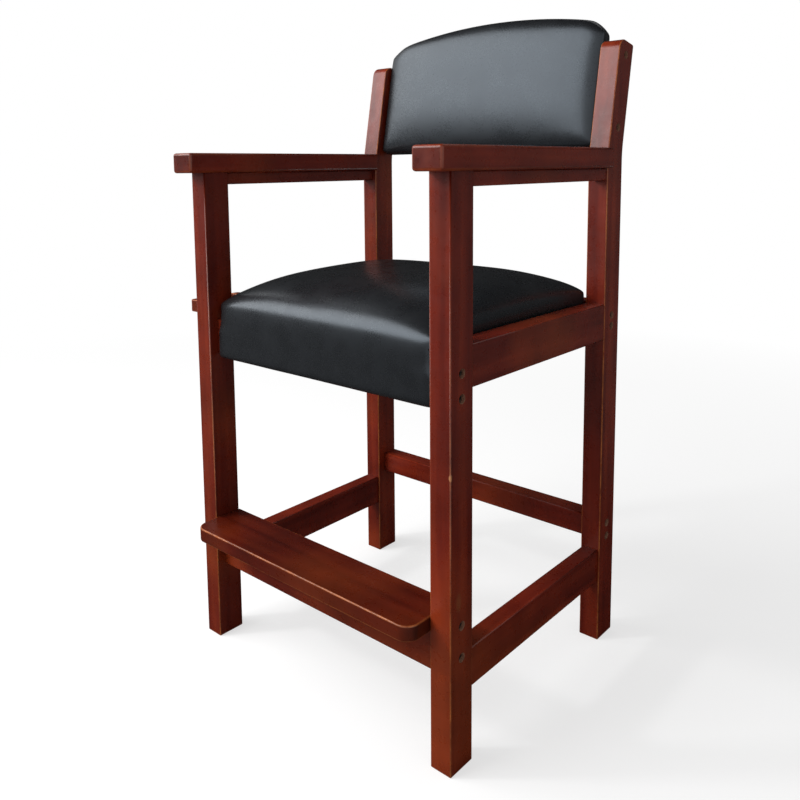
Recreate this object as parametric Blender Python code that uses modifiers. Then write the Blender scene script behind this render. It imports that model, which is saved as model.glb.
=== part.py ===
"""Tall spectator chair of bolted hardwood with an upholstered seat and back.

Metres, +Z up. The chair faces -Y. Places are worked out in a frame with X = 0 midway between
the sides, Y = 0 at the front of the front legs and Z = 0 on the floor. An empty then carries
the whole chair to the middle of its own footprint.
"""
import math

import bmesh
import bpy
from mathutils import Matrix, Vector

# Side frames
FRAME_WIDTH = 0.600
FRAME_DEPTH = 0.5315
LEG_THICKNESS = 0.0385
FRONT_LEG_DEPTH = 0.0555
REAR_LEG_DEPTH = 0.0575
ARM_TOP = 0.944
ARM_THICKNESS = 0.0365
ARM_WIDTH = 0.0545
ARM_OVERHANG_OUT = 0.011
ARM_OVERHANG_FRONT = 0.033
ARM_EDGE = 0.005
ARM_RAIL_HEIGHT = 0.022
ARM_RAIL_THICKNESS = 0.0255
ARM_RAIL_SETBACK = 0.0025
SIDE_APRON_HEIGHT = 0.0665
SIDE_APRON_SETBACK = 0.001
SIDE_STRETCHER_BOTTOM = 0.118
SIDE_STRETCHER_HEIGHT = 0.064
SIDE_STRETCHER_SETBACK = 0.004

# Raked back posts
BEND_DROP = 0.017
RAKE = math.radians(10.6)
POST_LENGTH = 0.220
POST_DEPTH = 0.0545
BEND_RADIUS = 0.175
POST_TOP_FRONT_RADIUS = 0.020
POST_TOP_BACK_RADIUS = 0.004

# Rails that cross the chair
CROSS_THICKNESS = 0.0365
REAR_CROSS_SETBACK = 0.0015
FRONT_APRON_TOP = 0.6325
FRONT_APRON_HEIGHT = 0.0665
SIDE_APRON_RISE = 0.0255
REAR_STRETCHER_BOTTOM = 0.1935
REAR_STRETCHER_HEIGHT = 0.044
FRONT_STRETCHER_BOTTOM = 0.1445
FRONT_STRETCHER_HEIGHT = 0.075

# Footrest plank
FOOTREST_THICKNESS = 0.0255
FOOTREST_OVERHANG = 0.0495
FOOTREST_BACK_LAP = 0.001
FOOTREST_CORNER = 0.024

# Cue rest on the left side
CUE_REST_DROP = 0.0075
CUE_REST_THICKNESS = 0.0245
CUE_REST_REACH = 0.1045
CUE_REST_LENGTH = 0.125
CUE_REST_LEG_GAP = 0.0025
CUE_REST_CORNER = 0.009
CUE_NOTCH_WIDTH = 0.026
CUE_NOTCH_DEPTH = 0.045
CUE_NOTCH_PITCH = 0.056
CUE_NOTCH_LIP = 0.004

# Seat
SEAT_BOARD_THICKNESS = 0.015
SEAT_BOARD_MARGIN = 0.0025
SEAT_PAD_EDGE = 0.0392
SEAT_CROWN = 0.036
SEAT_FRONT_DROP = 0.018
SEAT_FRONT_SETBACK = 0.010
SEAT_SKIRT_LAP = 0.010
SEAT_SIDE_GAP = 0.0005
SEAT_SIDE_WAIST = 0.002
DUST_COVER_THICKNESS = 0.001
DUST_COVER_MARGIN = 0.008
CORNER_BLOCK_LEG = 0.060
CORNER_BLOCK_HEIGHT = 0.036

# Back, measured up the rake from the bend and back from the front of the posts
BACK_BOTTOM = 0.020
BACK_TOP = 0.2925
BACK_ARCH_RISE = 0.030
BACK_CORNER_DROP = 0.022
BACK_RIM_FRONT = 0.010
BACK_CROWN = 0.010
BACK_RIM_REAR = 0.043
BACK_SIDE_GAP = 0.0005
BACK_WRAP = 0.004
BACK_BOARD_THICKNESS = 0.0245
BACK_PANEL_THICKNESS = 0.010
BACK_PANEL_INSET = 0.004

# Joints and fasteners
TENON_LENGTH = 0.015
TENON_THICKNESS = 0.012
TENON_SHOULDER = 0.005
ARM_TENON_SHOULDER = 0.010
BOLT_HEAD_RADIUS = 0.0062
BOLT_HEAD_HEIGHT = 0.005
BOLT_RADIUS = 0.003
BOLT_LENGTH = 0.060
BOLT_SOCKET_WIDTH = 0.005
BOLT_SOCKET_DEPTH = 0.003
BOLT_RECESS = 0.005
COUNTERBORE_RADIUS = 0.0075
FRONT_APRON_BOLT_SPACING = 0.0375
REAR_APRON_BOLT_SPACING = 0.020
REAR_STRETCHER_BOLT_SPACING = 0.026
BACK_LOWER_BOLT = 0.060
BACK_UPPER_BOLT = 0.194
SCREW_HEAD_RADIUS = 0.004
SCREW_HEAD_HEIGHT = 0.0025
SCREW_RADIUS = 0.002
SCREW_RECESS = 0.003
SEAT_SCREW_LENGTH = 0.040
CUE_SCREW_LENGTH = 0.056
CUE_SCREW_SPACING = 0.070

# Fits and small rounds
FIT = 0.0003
OVERRUN = 0.010
EDGE_ROUND = 0.002
PLANK_ROUND = 0.003
MERGE_DISTANCE = 0.00001
ROUND_STEPS = 12
EDGE_STEPS = 2
CORNER_STEPS = 6
ARCH_STEPS = 12
SHARP_ANGLE = math.radians(30)
FLAT_ANGLE = math.radians(0.1)

# Lines that several pieces share
HALF_WIDTH = FRAME_WIDTH / 2
INNER_HALF = HALF_WIDTH - LEG_THICKNESS
REAR_LEG_FRONT = FRAME_DEPTH - REAR_LEG_DEPTH
FRONT_CROSS_BACK = FRONT_LEG_DEPTH
REAR_CROSS_BACK = FRAME_DEPTH - REAR_CROSS_SETBACK
REAR_CROSS_FRONT = REAR_CROSS_BACK - CROSS_THICKNESS
ARM_UNDERSIDE = ARM_TOP - ARM_THICKNESS
BEND_HEIGHT = ARM_TOP - BEND_DROP
SIDE_APRON_TOP = FRONT_APRON_TOP + SIDE_APRON_RISE
SIDE_APRON_BOTTOM = SIDE_APRON_TOP - SIDE_APRON_HEIGHT
FRONT_APRON_BOTTOM = FRONT_APRON_TOP - FRONT_APRON_HEIGHT
FRONT_STRETCHER_TOP = FRONT_STRETCHER_BOTTOM + FRONT_STRETCHER_HEIGHT
SEAT_BOARD_BOTTOM = FRONT_APRON_TOP + FIT
SEAT_BOARD_TOP = SEAT_BOARD_BOTTOM + SEAT_BOARD_THICKNESS
SEAT_EDGE = SEAT_BOARD_TOP + SEAT_PAD_EDGE
SEAT_SKIRT_BOTTOM = FRONT_APRON_BOTTOM - SEAT_SKIRT_LAP
FRONT_BOLT_LINE = FRONT_LEG_DEPTH / 2
REAR_BOLT_LINE = REAR_LEG_FRONT + REAR_LEG_DEPTH / 2
SIDES = (("left", -1), ("right", 1))

# Cage shares, from one edge of a cushion to the other
WIDE_SHARES = (0, 0.012, 0.06, 0.2, 0.4, 0.6, 0.8, 0.94, 0.988, 1)
DEEP_SHARES = (0, 0.014, 0.07, 0.24, 0.5, 0.74, 0.92, 0.985, 1)
TALL_SHARES = (0, 0.04, 0.5, 0.86, 1)
BACK_TALL_SHARES = (0, 0.02, 0.1, 0.3, 0.55, 0.8, 0.95, 1)
BACK_THICK_SHARES = (0, 0.12, 0.6, 1)
CROWN_POWER = 4
SIDE_CROWN_POWER = 4.75
FRONT_DROP_SHARE = 0.26
CORNER_START_SHARE = 0.86
BLOCK_SCREW_SHARE = 0.33


def material(name, colour, roughness, metallic=0.0):
    mat = bpy.data.materials.new(name)
    mat.use_nodes = True
    shader = mat.node_tree.nodes["Principled BSDF"]
    shader.inputs["Base Color"].default_value = (*colour, 1.0)
    shader.inputs["Roughness"].default_value = roughness
    shader.inputs["Metallic"].default_value = metallic
    return mat


def add_object(name, mesh, collection, mat=None):
    obj = bpy.data.objects.new(name, mesh)
    obj.parent = chair
    if mat is not None:
        mesh.materials.append(mat)
    collection.objects.link(obj)
    return obj


def add_cutter(name, mesh):
    obj = add_object(name, mesh, cutters)
    obj.hide_render = True
    obj.display_type = "WIRE"
    return obj


def box_mesh(name, low, high):
    mesh = bpy.data.meshes.new(name)
    shape = bmesh.new()
    bmesh.ops.create_cube(shape, size=1)
    size = [b - a for a, b in zip(low, high)]
    bmesh.ops.scale(shape, vec=size, verts=shape.verts)
    shape.to_mesh(mesh)
    shape.free()
    return mesh


def middle(low, high):
    return [(a + b) / 2 for a, b in zip(low, high)]


def box_cutter(name, low, high):
    obj = add_cutter(name, box_mesh(name, low, high))
    obj.location = middle(low, high)
    return obj


def round_edges(obj, width, steps=EDGE_STEPS):
    bevel = obj.modifiers.new("rounded_edges", "BEVEL")
    bevel.width = width
    bevel.segments = steps
    bevel.limit_method = "ANGLE"
    bevel.angle_limit = SHARP_ANGLE


def add_box(name, low, high, mat, edge=EDGE_ROUND, steps=EDGE_STEPS):
    obj = add_object(name, box_mesh(name, low, high), parts, mat)
    obj.location = middle(low, high)
    if edge:
        round_edges(obj, edge, steps)
    return obj


def combine(obj, other, operation):
    boolean = obj.modifiers.new(f"{operation.lower()}_{other.name}", "BOOLEAN")
    boolean.operation = operation
    boolean.object = other


def cut(obj, *others):
    for other in others:
        combine(obj, other, "DIFFERENCE")


def filleted(corners):
    """Turns (x, y, radius) corners, listed round an outline, into points with arcs of that radius."""
    points = []
    for index, (x, y, radius) in enumerate(corners):
        here = Vector((x, y))
        before = Vector(corners[index - 1][:2]) - here
        after = Vector(corners[(index + 1) % len(corners)][:2]) - here
        if radius == 0:
            points.append(here)
            continue
        half = before.angle(after) / 2
        centre = here + (before.normalized() + after.normalized()).normalized() * radius / math.sin(half)
        start = here + before.normalized() * radius / math.tan(half) - centre
        turn = math.pi - 2 * half
        sense = 1 if before.cross(after) < 0 else -1
        steps = max(2, round(CORNER_STEPS * turn / (math.pi / 2)))
        for step in range(steps + 1):
            angle = sense * turn * step / steps
            points.append(centre + Matrix.Rotation(angle, 2) @ start)
    return points


def outline_mesh(name, points, thickness, placement):
    """Fills a flat outline, thickens it about its plane and moves it by a matrix."""
    curve = bpy.data.curves.new(name, "CURVE")
    curve.dimensions = "2D"
    curve.fill_mode = "BOTH"
    curve.extrude = thickness / 2
    spline = curve.splines.new("POLY")
    spline.points.add(len(points) - 1)
    for point, place in zip(spline.points, points):
        point.co = (*place, 0, 1)
    spline.use_cyclic_u = True
    return solid_from(name, curve, placement)


def solid_from(name, data, placement):
    """Evaluates a curve or a modified shape once and returns its mesh."""
    source = bpy.data.objects.new(name + "_source", data)
    cutters.objects.link(source)
    bpy.context.view_layer.update()
    graph = bpy.context.evaluated_depsgraph_get()
    mesh = bpy.data.meshes.new_from_object(source.evaluated_get(graph))
    mesh.name = name
    shape = bmesh.new()
    shape.from_mesh(mesh)
    bmesh.ops.remove_doubles(shape, verts=shape.verts, dist=MERGE_DISTANCE)
    bmesh.ops.dissolve_limit(shape, angle_limit=FLAT_ANGLE, verts=shape.verts, edges=shape.edges)
    shape.to_mesh(mesh)
    shape.free()
    mesh.transform(source.matrix_world)
    mesh.transform(placement)
    bpy.data.objects.remove(source)
    return mesh


def upright(x):
    """Puts an outline drawn as (depth, height) into the upright plane at x."""
    return Matrix(((0, 0, 1, x), (1, 0, 0, 0), (0, 1, 0, 0), (0, 0, 0, 1)))


def level(z):
    return Matrix.Translation((0, 0, z))


def raked(up, back):
    """Frame of the raked back: X across, Y up the rake, Z forward, from the bend of the posts."""
    lean = Matrix.Rotation(math.pi / 2 - RAKE, 4, "X")
    return Matrix.Translation((0, REAR_LEG_FRONT, BEND_HEIGHT)) @ lean @ Matrix.Translation((0, up, -back))


def turned(name, profile, steps=ROUND_STEPS):
    """Turns a profile of (radius, height) about Z. It runs from the top down its outer side."""
    mesh = bpy.data.meshes.new(name)
    shape = bmesh.new()
    rim = [shape.verts.new((radius, 0, height)) for radius, height in profile]
    for first, second in zip(rim, rim[1:]):
        shape.edges.new((first, second))
    shape.to_mesh(mesh)
    shape.free()
    source = bpy.data.objects.new(name + "_profile", mesh)
    cutters.objects.link(source)
    screw = source.modifiers.new("turn", "SCREW")
    screw.steps = steps
    screw.render_steps = steps
    screw.use_merge_vertices = True
    screw.merge_threshold = MERGE_DISTANCE
    bpy.context.view_layer.update()
    graph = bpy.context.evaluated_depsgraph_get()
    result = bpy.data.meshes.new_from_object(source.evaluated_get(graph))
    result.name = name
    bpy.data.objects.remove(source)
    return result


def smooth(mesh):
    mesh.shade_smooth()
    mesh.set_sharp_from_angle(angle=SHARP_ANGLE)
    return mesh


def fastener_mesh(name, head_radius, head_height, radius, length):
    return turned(name, (
        (0, 0), (head_radius, 0), (head_radius, -head_height),
        (radius, -head_height), (radius, -head_height - length), (0, -head_height - length),
    ))


def hole_mesh(name, head_radius, head_depth, radius, length):
    return turned(name, (
        (0, OVERRUN), (head_radius, OVERRUN), (head_radius, -head_depth),
        (radius, -head_depth), (radius, -head_depth - length), (0, -head_depth - length),
    ))


def bolt_mesh():
    """Socket head bolt, its head's outer face at Z = 0 and its shank down Z."""
    mesh = fastener_mesh("bolt", BOLT_HEAD_RADIUS, BOLT_HEAD_HEIGHT, BOLT_RADIUS, BOLT_LENGTH)
    body = add_object("bolt_source", mesh, cutters)
    key = bpy.data.meshes.new("bolt_socket")
    shape = bmesh.new()
    across_corners = BOLT_SOCKET_WIDTH / math.cos(math.pi / 6)
    bmesh.ops.create_cone(
        shape, cap_ends=True, segments=6, radius1=across_corners / 2, radius2=across_corners / 2,
        depth=BOLT_SOCKET_DEPTH * 2)
    shape.to_mesh(key)
    shape.free()
    socket = add_object("bolt_socket", key, cutters)
    cut(body, socket)
    bpy.context.view_layer.update()
    graph = bpy.context.evaluated_depsgraph_get()
    result = bpy.data.meshes.new_from_object(body.evaluated_get(graph))
    result.name = "bolt"
    bpy.data.objects.remove(body)
    bpy.data.objects.remove(socket)
    result.materials.clear()
    result.materials.append(steel)
    return smooth(result)


def place(obj, location, rotation=(0, 0, 0)):
    obj.location = location
    obj.rotation_euler = rotation
    return obj


def facing(side):
    """Rotation that points a fastener's head out through the left or right side."""
    return (0, side * math.pi / 2, 0)


def raked_point(up, back):
    return raked(up, back).translation


# Bolts, as (name, depth, height) on both sides
def bolt_places():
    front_apron = FRONT_APRON_TOP - FRONT_APRON_HEIGHT / 2
    rear_apron = SIDE_APRON_TOP - SIDE_APRON_HEIGHT / 2
    rear_stretcher = REAR_STRETCHER_BOTTOM + REAR_STRETCHER_HEIGHT / 2
    front_stretcher = FRONT_STRETCHER_BOTTOM + FRONT_STRETCHER_HEIGHT / 2
    footrest = FRONT_STRETCHER_TOP + FIT + FOOTREST_THICKNESS / 2
    upper = raked_point(BACK_UPPER_BOLT, POST_DEPTH / 2)
    lower = raked_point(BACK_LOWER_BOLT, POST_DEPTH / 2)
    return {
        "front_apron_upper": (FRONT_BOLT_LINE, front_apron + FRONT_APRON_BOLT_SPACING / 2),
        "front_apron_lower": (FRONT_BOLT_LINE, front_apron - FRONT_APRON_BOLT_SPACING / 2),
        "footrest": (FRONT_BOLT_LINE, footrest),
        "front_stretcher": (FRONT_BOLT_LINE, front_stretcher),
        "rear_apron_upper": (REAR_BOLT_LINE, rear_apron + REAR_APRON_BOLT_SPACING / 2),
        "rear_apron_lower": (REAR_BOLT_LINE, rear_apron - REAR_APRON_BOLT_SPACING / 2),
        "rear_stretcher_upper": (REAR_BOLT_LINE, rear_stretcher + REAR_STRETCHER_BOLT_SPACING / 2),
        "rear_stretcher_lower": (REAR_BOLT_LINE, rear_stretcher - REAR_STRETCHER_BOLT_SPACING / 2),
        "back_upper": (upper.y, upper.z),
        "back_lower": (lower.y, lower.z),
    }


def add_bolts():
    """Every bolt with the stepped hole that seats it. Returns the holes by name and side."""
    mesh = bolt_mesh()
    head_depth = BOLT_RECESS + BOLT_HEAD_HEIGHT + FIT
    hole = hole_mesh("bolt_hole", COUNTERBORE_RADIUS, head_depth, BOLT_RADIUS + FIT, BOLT_LENGTH + FIT)
    holes = {}
    for label, (depth, height) in bolt_places().items():
        for side_name, side in SIDES:
            bolt = add_object(f"bolt_{label}_{side_name}", mesh, parts)
            place(bolt, (side * (HALF_WIDTH - BOLT_RECESS), depth, height), facing(side))
            cutter = add_cutter(f"hole_{label}_{side_name}", hole)
            holes[label, side_name] = place(cutter, (side * HALF_WIDTH, depth, height), facing(side))
    return holes


def bolted(obj, *labels):
    """Cuts the bolt holes of both sides into the ends of a cross piece."""
    for label in labels:
        for side_name, _ in SIDES:
            cut(obj, bolt_holes[label, side_name])


# A rail between the legs of one side, with a stub tenon at each end
def side_rail(name, side, setback, thickness, bottom, top):
    outer = HALF_WIDTH - setback
    inner = outer - thickness
    xs = sorted((side * inner, side * outer))
    centre = side * (inner + outer) / 2
    low = (xs[0], FRONT_LEG_DEPTH + FIT, bottom)
    high = (xs[1], REAR_LEG_FRONT - FIT, top)
    rail = add_box(name, low, high, wood)
    ends = tenon_box(centre, bottom, top, 0)
    combine(rail, box_cutter(name + "_tenons", *ends), "UNION")
    return rail, box_cutter(name + "_mortises", *tenon_box(centre, bottom, top, FIT))


def tenon_box(centre, bottom, top, clearance):
    half = TENON_THICKNESS / 2 + clearance
    low = (centre - half, FRONT_LEG_DEPTH - TENON_LENGTH - clearance, bottom + TENON_SHOULDER - clearance)
    high = (centre + half, REAR_LEG_FRONT + TENON_LENGTH + clearance, top - TENON_SHOULDER + clearance)
    return low, high


def rear_leg_outline():
    sine, cosine, slope = math.sin(RAKE), math.cos(RAKE), math.tan(RAKE)
    lean = POST_DEPTH / cosine
    back_bend = BEND_HEIGHT + (REAR_LEG_DEPTH - lean) / slope
    top_front = (REAR_LEG_FRONT + POST_LENGTH * sine, BEND_HEIGHT + POST_LENGTH * cosine)
    top_back = (top_front[0] + POST_DEPTH * cosine, top_front[1] - POST_DEPTH * sine)
    return filleted((
        (REAR_LEG_FRONT, 0, 0),
        (FRAME_DEPTH, 0, 0),
        (FRAME_DEPTH, back_bend, BEND_RADIUS),
        (*top_back, POST_TOP_BACK_RADIUS),
        (*top_front, POST_TOP_FRONT_RADIUS),
        (REAR_LEG_FRONT, BEND_HEIGHT, BEND_RADIUS),
    ))


def arm(side_name, side):
    outer = HALF_WIDTH + ARM_OVERHANG_OUT
    xs = sorted((side * (outer - ARM_WIDTH), side * outer))
    low = (xs[0], -ARM_OVERHANG_FRONT, ARM_UNDERSIDE)
    high = (xs[1], REAR_LEG_FRONT - FIT, ARM_TOP)
    piece = add_box(f"armrest_{side_name}", low, high, wood, ARM_EDGE, EDGE_STEPS + 1)
    centre = side * (HALF_WIDTH - LEG_THICKNESS / 2)
    tongue = rear_tongue(centre, 0)
    combine(piece, box_cutter(f"armrest_{side_name}_tenon", *tongue), "UNION")
    mortise = box_cutter(f"armrest_{side_name}_mortise", *leg_tenon(centre, FIT))
    cut(piece, mortise)
    return box_cutter(f"armrest_{side_name}_socket", *rear_tongue(centre, FIT))


def rear_tongue(centre, clearance):
    """Tenon that holds the arm's rear end in the rear leg."""
    half = TENON_THICKNESS / 2 + clearance
    low = (centre - half, REAR_LEG_FRONT - TENON_LENGTH, ARM_UNDERSIDE + TENON_SHOULDER - clearance)
    high = (centre + half, REAR_LEG_FRONT + TENON_LENGTH + clearance,
            ARM_TOP - ARM_TENON_SHOULDER + clearance)
    return low, high


def leg_tenon(centre, clearance):
    """Tenon on top of a front leg, in the underside of the arm."""
    half = TENON_THICKNESS / 2 + clearance
    low = (centre - half, ARM_TENON_SHOULDER - clearance, ARM_UNDERSIDE - TENON_LENGTH)
    high = (centre + half, FRONT_LEG_DEPTH - ARM_TENON_SHOULDER + clearance,
            ARM_UNDERSIDE + TENON_LENGTH + clearance)
    return low, high


def front_leg(side_name, side, mortises):
    xs = sorted((side * INNER_HALF, side * HALF_WIDTH))
    low = (xs[0], 0, 0)
    high = (xs[1], FRONT_LEG_DEPTH, ARM_UNDERSIDE - FIT)
    leg = add_box(f"front_leg_{side_name}", low, high, wood)
    centre = side * (HALF_WIDTH - LEG_THICKNESS / 2)
    combine(leg, box_cutter(f"front_leg_{side_name}_tenon", *leg_tenon(centre, 0)), "UNION")
    cut(leg, *mortises)
    labels = ("front_apron_upper", "front_apron_lower", "footrest", "front_stretcher")
    cut(leg, *(bolt_holes[label, side_name] for label in labels))


def rear_leg(side_name, side, mortises):
    centre = side * (HALF_WIDTH - LEG_THICKNESS / 2)
    mesh = outline_mesh(f"rear_leg_{side_name}", rear_leg_outline(), LEG_THICKNESS, upright(centre))
    leg = add_object(f"rear_leg_{side_name}", mesh, parts, wood)
    round_edges(leg, EDGE_ROUND)
    cut(leg, *mortises)
    labels = (
        "rear_apron_upper", "rear_apron_lower", "rear_stretcher_upper", "rear_stretcher_lower",
        "back_upper", "back_lower",
    )
    cut(leg, *(bolt_holes[label, side_name] for label in labels))


def side_frame(side_name, side):
    apron, apron_mortise = side_rail(
        f"seat_apron_{side_name}", side, SIDE_APRON_SETBACK, LEG_THICKNESS - 2 * SIDE_APRON_SETBACK,
        SIDE_APRON_BOTTOM, SIDE_APRON_TOP)
    _, stretcher_mortise = side_rail(
        f"side_stretcher_{side_name}", side, SIDE_STRETCHER_SETBACK,
        LEG_THICKNESS - 2 * SIDE_STRETCHER_SETBACK,
        SIDE_STRETCHER_BOTTOM, SIDE_STRETCHER_BOTTOM + SIDE_STRETCHER_HEIGHT)
    _, rail_mortise = side_rail(
        f"arm_rail_{side_name}", side, ARM_RAIL_SETBACK, ARM_RAIL_THICKNESS,
        ARM_UNDERSIDE - FIT - ARM_RAIL_HEIGHT, ARM_UNDERSIDE - FIT)
    mortises = [apron_mortise, stretcher_mortise, rail_mortise]
    front_leg(side_name, side, mortises)
    rear_leg(side_name, side, mortises + [arm(side_name, side)])
    return apron


def cross_piece(name, front, back, bottom, top, *labels):
    half = INNER_HALF - FIT
    piece = add_box(name, (-half, front, bottom), (half, back, top), wood)
    bolted(piece, *labels)
    return piece


def cross_rails():
    front = FRONT_CROSS_BACK - CROSS_THICKNESS
    cross_piece("front_apron", front, FRONT_CROSS_BACK, FRONT_APRON_BOTTOM, FRONT_APRON_TOP,
                "front_apron_upper", "front_apron_lower")
    cross_piece("front_stretcher", front, FRONT_CROSS_BACK, FRONT_STRETCHER_BOTTOM,
                FRONT_STRETCHER_TOP, "front_stretcher")
    cross_piece("rear_apron", REAR_CROSS_FRONT, REAR_CROSS_BACK, SIDE_APRON_BOTTOM, SIDE_APRON_TOP,
                "rear_apron_upper", "rear_apron_lower")
    cross_piece("rear_stretcher", REAR_CROSS_FRONT, REAR_CROSS_BACK, REAR_STRETCHER_BOTTOM,
                REAR_STRETCHER_BOTTOM + REAR_STRETCHER_HEIGHT,
                "rear_stretcher_upper", "rear_stretcher_lower")


def footrest():
    half = INNER_HALF - FIT
    back = FRONT_CROSS_BACK + FOOTREST_BACK_LAP
    points = filleted((
        (-half, -FOOTREST_OVERHANG, FOOTREST_CORNER),
        (half, -FOOTREST_OVERHANG, FOOTREST_CORNER),
        (half, back, 0),
        (-half, back, 0),
    ))
    middle_height = FRONT_STRETCHER_TOP + FIT + FOOTREST_THICKNESS / 2
    mesh = outline_mesh("footrest", points, FOOTREST_THICKNESS, level(middle_height))
    plank = add_object("footrest", mesh, parts, wood)
    round_edges(plank, PLANK_ROUND)
    bolted(plank, "footrest")


def cue_rest(apron):
    """Plate outside the left seat apron, with notches open to the side for standing cues."""
    inner = -(HALF_WIDTH - SIDE_APRON_SETBACK) - FIT
    outer = -HALF_WIDTH - CUE_REST_REACH
    front = FRONT_LEG_DEPTH + CUE_REST_LEG_GAP
    back = front + CUE_REST_LENGTH
    centre = (front + back) / 2
    half = CUE_NOTCH_WIDTH / 2
    corners = [(outer, back, CUE_REST_CORNER)]
    for offset in (CUE_NOTCH_PITCH / 2, -CUE_NOTCH_PITCH / 2):
        notch = centre + offset
        corners += [
            (outer, notch + half, CUE_NOTCH_LIP),
            (outer + CUE_NOTCH_DEPTH, notch + half, half),
            (outer + CUE_NOTCH_DEPTH, notch - half, half),
            (outer, notch - half, CUE_NOTCH_LIP),
        ]
    corners += [(outer, front, CUE_REST_CORNER), (inner, front, 0), (inner, back, 0)]
    height = SIDE_APRON_TOP - CUE_REST_DROP - CUE_REST_THICKNESS / 2
    mesh = outline_mesh("cue_rest", filleted(corners), CUE_REST_THICKNESS, level(height))
    plate = add_object("cue_rest", mesh, parts, wood)
    round_edges(plate, EDGE_ROUND)
    seat = -(HALF_WIDTH - LEG_THICKNESS + SIDE_APRON_SETBACK)
    for index, offset in enumerate((-CUE_SCREW_SPACING / 2, CUE_SCREW_SPACING / 2)):
        spot = (seat, centre + offset, height)
        hole = add_screw(f"cue_rest_screw_{index + 1}", spot, facing(1), CUE_SCREW_LENGTH)
        cut(apron, hole)
        cut(plate, hole)


def add_screw(name, surface, rotation, length):
    """Sinks a pan head screw below a surface point and returns the hole that seats it."""
    head_depth = SCREW_RECESS + SCREW_HEAD_HEIGHT + FIT
    cutter = add_cutter(f"hole_{name}", hole_mesh(
        f"hole_{name}", SCREW_HEAD_RADIUS + FIT, head_depth, SCREW_RADIUS + FIT, length + FIT))
    place(cutter, surface, rotation)
    screw = add_object(name, screw_meshes[length], parts)
    place(screw, surface, rotation)
    outward = screw.rotation_euler.to_matrix() @ Vector((0, 0, 1))
    screw.location = Vector(surface) - outward * SCREW_RECESS
    return cutter


def corner_blocks(board):
    """Glue blocks under the seat board's corners, each with the screw that holds the board."""
    top = FRONT_APRON_TOP
    bottom = top - CORNER_BLOCK_HEIGHT
    leg = CORNER_BLOCK_LEG
    apron_face = HALF_WIDTH - LEG_THICKNESS + SIDE_APRON_SETBACK - FIT
    front = FRONT_CROSS_BACK + FIT
    back = REAR_CROSS_FRONT - FIT
    places = (
        ("front", apron_face, front, 1),
        ("rear", INNER_HALF - FIT, back, -1),
    )
    for end_name, reach, wall, inward in places:
        for side_name, side in SIDES:
            corner = side * reach
            points = [Vector((corner, wall)), Vector((corner, wall + inward * leg)),
                      Vector((corner - side * leg, wall))]
            name = f"corner_block_{end_name}_{side_name}"
            mesh = outline_mesh(name, points, top - bottom, level((top + bottom) / 2))
            block = add_object(name, mesh, parts, pine)
            inset = leg * BLOCK_SCREW_SHARE
            spot = (corner - side * inset, wall + inward * inset, bottom)
            screw = f"seat_screw_{end_name}_{side_name}"
            hole = add_screw(screw, spot, (math.pi, 0, 0), SEAT_SCREW_LENGTH)
            cut(block, hole)
            cut(board, hole)


def seat_board():
    half = INNER_HALF - SEAT_BOARD_MARGIN
    front = FRONT_CROSS_BACK - CROSS_THICKNESS + SEAT_BOARD_MARGIN
    back = REAR_CROSS_FRONT - SEAT_BOARD_MARGIN
    return add_box("seat_board", (-half, front, SEAT_BOARD_BOTTOM), (half, back, SEAT_BOARD_TOP), plywood)


def dust_cover():
    half = INNER_HALF - DUST_COVER_MARGIN
    front = FRONT_CROSS_BACK + DUST_COVER_MARGIN
    back = REAR_CROSS_FRONT - DUST_COVER_MARGIN
    chamfer = CORNER_BLOCK_LEG
    points = [
        Vector(spot) for spot in (
            (-half + chamfer, front), (half - chamfer, front), (half, front + chamfer),
            (half, back - chamfer), (half - chamfer, back), (-half + chamfer, back),
            (-half, back - chamfer), (-half, front + chamfer),
        )
    ]
    height = SEAT_BOARD_BOTTOM - FIT - DUST_COVER_THICKNESS / 2
    mesh = outline_mesh("dust_cover", points, DUST_COVER_THICKNESS, level(height))
    add_object("dust_cover", mesh, parts, cloth)


def cage(name, shares_x, shares_y, shares_z, shape_point, mat):
    """Closed cage of cells at the given shares, each corner moved by shape_point, then smoothed."""
    counts = [len(shares) - 1 for shares in (shares_x, shares_y, shares_z)]
    mesh = bpy.data.meshes.new(name)
    grid = bmesh.new()
    bmesh.ops.create_cube(grid, size=1)
    bmesh.ops.translate(grid, vec=Vector((1, 1, 1)) / 2, verts=grid.verts)
    for axis, count in enumerate(counts):
        for step in range(1, count):
            normal = Vector((0, 0, 0))
            normal[axis] = 1
            bmesh.ops.bisect_plane(
                grid, geom=grid.verts[:] + grid.edges[:] + grid.faces[:], dist=MERGE_DISTANCE,
                plane_co=normal * step / count, plane_no=normal)
    for vert in grid.verts:
        steps = [round(value * count) for value, count in zip(vert.co, counts)]
        vert.co = shape_point(shares_x[steps[0]], shares_y[steps[1]], shares_z[steps[2]])
    bmesh.ops.recalc_face_normals(grid, faces=grid.faces)
    grid.to_mesh(mesh)
    grid.free()
    mesh.shade_smooth()
    cushion = add_object(name, mesh, parts, mat)
    soften = cushion.modifiers.new("soften", "SUBSURF")
    soften.levels = 1
    soften.render_levels = 1
    return cushion


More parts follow.
